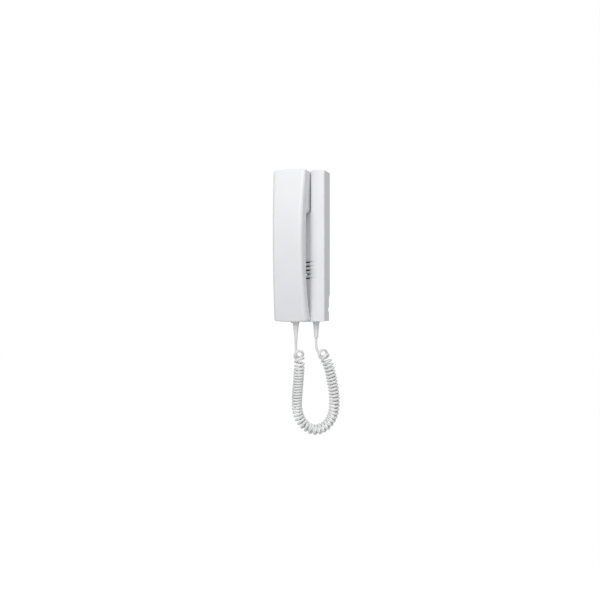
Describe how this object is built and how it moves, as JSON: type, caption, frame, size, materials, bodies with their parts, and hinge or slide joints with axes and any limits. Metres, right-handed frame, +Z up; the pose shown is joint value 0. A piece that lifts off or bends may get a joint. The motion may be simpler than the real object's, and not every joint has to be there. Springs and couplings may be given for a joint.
{
  "type": "audio intercom handset",
  "caption": "Wall intercom with a bowed handset hung on the left of a tall base, a ridge with slots on the right, and a curly cord in a U below.",
  "frame": {"origin": "middle of the two wall screws, on the back of the wall plate", "axes": "+X to the viewer's right, +Z up, -Y out of the wall towards the viewer"},
  "size_m": [0.096, 0.054, 0.3815],
  "materials": {
    "white_plastic": "fine matt texture",
    "handset_plastic": "satin",
    "grey_plastic": "matt",
    "soft_white": "soft satin",
    "cord_jacket": "satin",
    "board_laminate": "semi gloss",
    "black_plastic": "matt",
    "green_plastic": "satin",
    "steel": "zinc plated",
    "spring_steel": "bright",
    "core_steel": "dull",
    "tinned_copper": "bright",
    "rubber": "matt",
    "foam": "open",
    "paper": "fibrous",
    "aluminium": "satin"
  },
  "bodies": {
    "base": {"base_cover": "white_plastic", "wall_plate": "white_plastic", "cover_screw": "steel", "circuit_board": "board_laminate", "board_screws": "steel", "sounder_holder": "grey_plastic", "call_sounder": "grey_plastic", "terminal_block": "green_plastic", "terminal_screws": "steel", "transformer_bobbin": "black_plastic", "transformer_core": "core_steel", "capacitors": "aluminium", "board_chips": "black_plastic", "resistors": "paper", "button_switch": "black_plastic", "hook_board": "board_laminate", "hook_screws": "steel", "hook_switch": "black_plastic", "hook_spring": "spring_steel", "base_strain_relief": "soft_white", "cord_fork": "steel", "base_cord_tail": "cord_jacket", "curly_cord": "cord_jacket"},
    "handset": {"handset_front_shell": "handset_plastic", "handset_rear_shell": "handset_plastic", "handset_screws": "steel", "earpiece_gasket": "foam", "receiver_frame": "black_plastic", "receiver_cone": "paper", "receiver_magnet": "steel", "microphone_boot": "rubber", "microphone_capsule": "aluminium", "handset_weight": "steel", "weight_screws": "steel", "handset_board": "board_laminate", "cord_crimps": "tinned_copper", "handset_strain_relief": "soft_white", "handset_cord_tail": "cord_jacket"},
    "hook": {"hook_plunger": "white_plastic"},
    "door_key": {"door_button": "grey_plastic", "button_stem": "grey_plastic"}
  },
  "joints": [
    {"name": "handset_lift", "type": "slide", "parent": "base", "child": "handset", "axis": [0, -0.866, 0.5], "range_m": [0, 0.08], "deforming": ["curly_cord"]},
    {"name": "hook_travel", "type": "slide", "parent": "base", "child": "hook", "axis": [0, -1, 0], "range_m": [0, 0.003], "deforming": ["hook_spring"]},
    {"name": "door_button_press", "type": "slide", "parent": "base", "child": "door_key", "axis": [0, 1, 0], "range_m": [0, 0.0015], "stiffness_N_per_m": 400}
  ],
  "couplings": [
    {"joint": "hook_travel", "follows": "handset_lift", "ratio": 0.0375}
  ]
}
